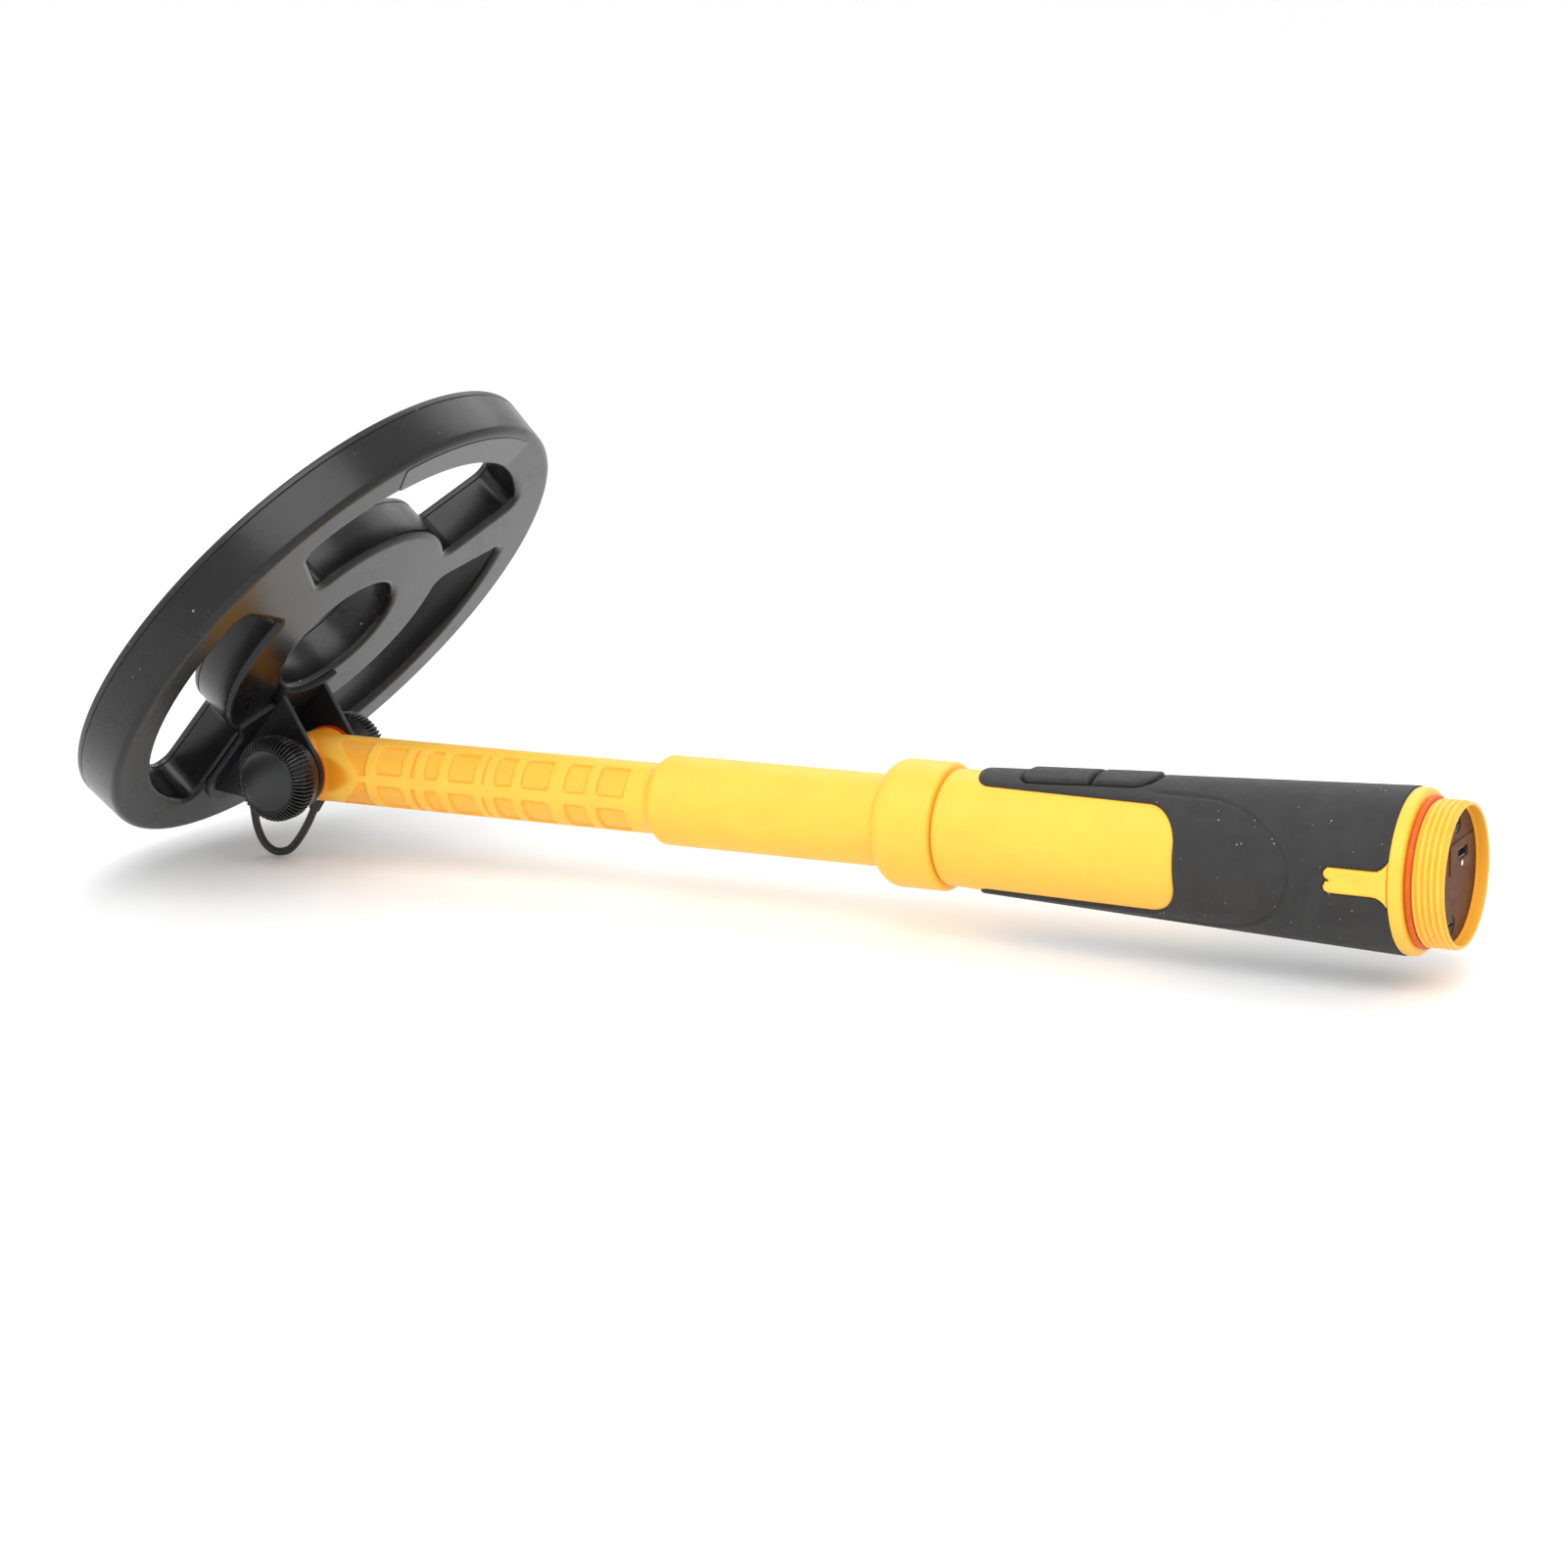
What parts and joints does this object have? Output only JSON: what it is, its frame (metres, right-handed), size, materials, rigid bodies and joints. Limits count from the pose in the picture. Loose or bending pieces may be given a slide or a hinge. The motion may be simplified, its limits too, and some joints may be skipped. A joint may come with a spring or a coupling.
{
  "type": "handheld search coil detector",
  "caption": "Handheld metal detector: a round spoked search coil folded on a ribbed yellow shaft, clamped by knobs, on a yellow and grey cone-shaped battery handle with buttons.",
  "frame": {"origin": "centre of the open rear neck's mouth, on the handle's axis", "axes": "+X out of the neck's mouth, away from the coil; +Z from the axis towards the push buttons; Y along the fold axis"},
  "size_m": [0.496, 0.203, 0.1709],
  "materials": {
    "o_ring": "orange rubber ring, lightly oiled",
    "inner_plastic": "dark inner moulding",
    "cable_black": "black cable jacket",
    "soft_black": "soft black strain relief",
    "yellow_shell": "smooth yellow moulding",
    "grip_rubber": "dull dark grey overmould with fine dust",
    "lamp_lens": "smoked lamp window",
    "lamp_chip": "clear lamp body",
    "circuit_board": "green circuit board",
    "switch_metal": "small switch cans",
    "motor_metal": "motor can",
    "cell_wrap": "shrink wrapped cell",
    "contact_metal": "plated metal",
    "brown_plate": "dull brown sealed plate",
    "screw_steel": "cross head screws",
    "white_lens": "white light guide",
    "button_rubber": "dull dark grey keys",
    "coil_plastic": "black moulded coil body, satin gloss",
    "cover_plastic": "black skid cover, scuffed",
    "copper_winding": "lacquered copper winding",
    "ear_plastic": "black moulded plastic",
    "washer_rubber": "red-orange friction washers",
    "label_film": "plain dark grey film label",
    "knob_plastic": "black ribbed knobs",
    "bolt_plastic": "black bolt",
    "insert_brass": "threaded insert"
  },
  "bodies": {
    "handle": {"shaft": "yellow_shell", "front_o_ring": "o_ring", "shaft_plug": "inner_plastic", "shaft_cable": "cable_black", "lead_grommet": "soft_black", "handle_housing": "yellow_shell", "rubber_grip": "grip_rubber", "led_window": "lamp_lens", "status_led": "lamp_chip", "switch_board": "circuit_board", "tact_switches": "switch_metal", "main_board": "circuit_board", "handle_socket": "inner_plastic", "vibration_motor": "motor_metal", "buzzer": "inner_plastic", "battery_cradle": "inner_plastic", "battery_cell": "cell_wrap", "battery_contacts": "contact_metal", "rear_bulkhead": "brown_plate", "bulkhead_screws": "screw_steel", "charge_board": "circuit_board", "charge_socket": "contact_metal", "charge_lens": "white_lens", "rear_o_ring": "o_ring"},
    "power_button": {"power_button": "button_rubber"},
    "mode_button": {"mode_button": "button_rubber"},
    "coil": {"coil_shell": "coil_plastic", "coil_cover": "cover_plastic", "ring_winding": "copper_winding", "hub_winding": "copper_winding", "coil_board": "circuit_board", "ear_bracket": "ear_plastic", "bracket_screws": "screw_steel", "friction_washers": "washer_rubber", "coil_gland": "soft_black", "coil_label": "label_film", "coil_lead": "cable_black"},
    "near_knob": {"near_knob": "knob_plastic", "pivot_bolt": "bolt_plastic"},
    "far_knob": {"far_knob": "knob_plastic", "far_insert": "insert_brass"}
  },
  "joints": [
    {"name": "coil_fold", "type": "hinge", "parent": "handle", "child": "coil", "pos_m": [-0.4294, 0, 0], "axis": [0, -1, 0], "range_deg": [-48, 132], "deforming": ["coil_lead"]},
    {"name": "near_knob_turn", "type": "hinge", "parent": "coil", "child": "near_knob", "pos_m": [-0.4294, 0, 0], "axis": [0, 1, 0], "continuous": true},
    {"name": "far_knob_turn", "type": "hinge", "parent": "coil", "child": "far_knob", "pos_m": [-0.4294, 0, 0], "axis": [0, 1, 0], "continuous": true},
    {"name": "power_press", "type": "slide", "parent": "handle", "child": "power_button", "axis": [0, 0, -1], "range_m": [0, 0.0008], "stiffness_N_per_m": 1500, "springref_m": -0.0004},
    {"name": "mode_press", "type": "slide", "parent": "handle", "child": "mode_button", "axis": [0, 0, -1], "range_m": [0, 0.0008], "stiffness_N_per_m": 1500, "springref_m": -0.0004}
  ]
}
